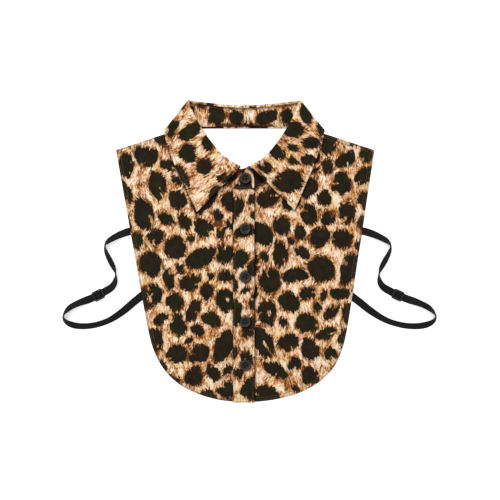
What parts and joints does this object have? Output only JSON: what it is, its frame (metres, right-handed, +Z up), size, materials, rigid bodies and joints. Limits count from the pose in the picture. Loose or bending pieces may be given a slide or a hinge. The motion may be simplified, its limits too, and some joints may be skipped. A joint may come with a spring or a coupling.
{
  "type": "detachable shirt collar",
  "caption": "Detachable shirt-collar dickey in spotted cloth: point collar on a stand, buttoned front bib and elastic arm loops, laid flat.",
  "frame": {"origin": "on the flat underside of the left front, under the centre-front line and about half way up the garment", "axes": "+X to the wearer's left, +Y towards the neck, +Z up from the surface that it lies on"},
  "size_m": [0.4866, 0.3928, 0.0123],
  "materials": {
    "print_cloth": "woven cotton with a dark spotted animal print on tan",
    "elastic": "ribbed black elastic tape",
    "black_plastic": "polished black"
  },
  "bodies": {
    "root": {"left_front": "print_cloth", "right_front": "print_cloth", "right_placket": "print_cloth", "collar_stand": "print_cloth", "collar_leaf": "print_cloth", "strap_right": "elastic", "strap_left": "elastic", "slider_right": "black_plastic", "slider_left": "black_plastic", "button_1": "black_plastic", "button_2": "black_plastic", "button_3": "black_plastic", "button_4": "black_plastic", "button_5": "black_plastic"}
  },
  "joints": []
}
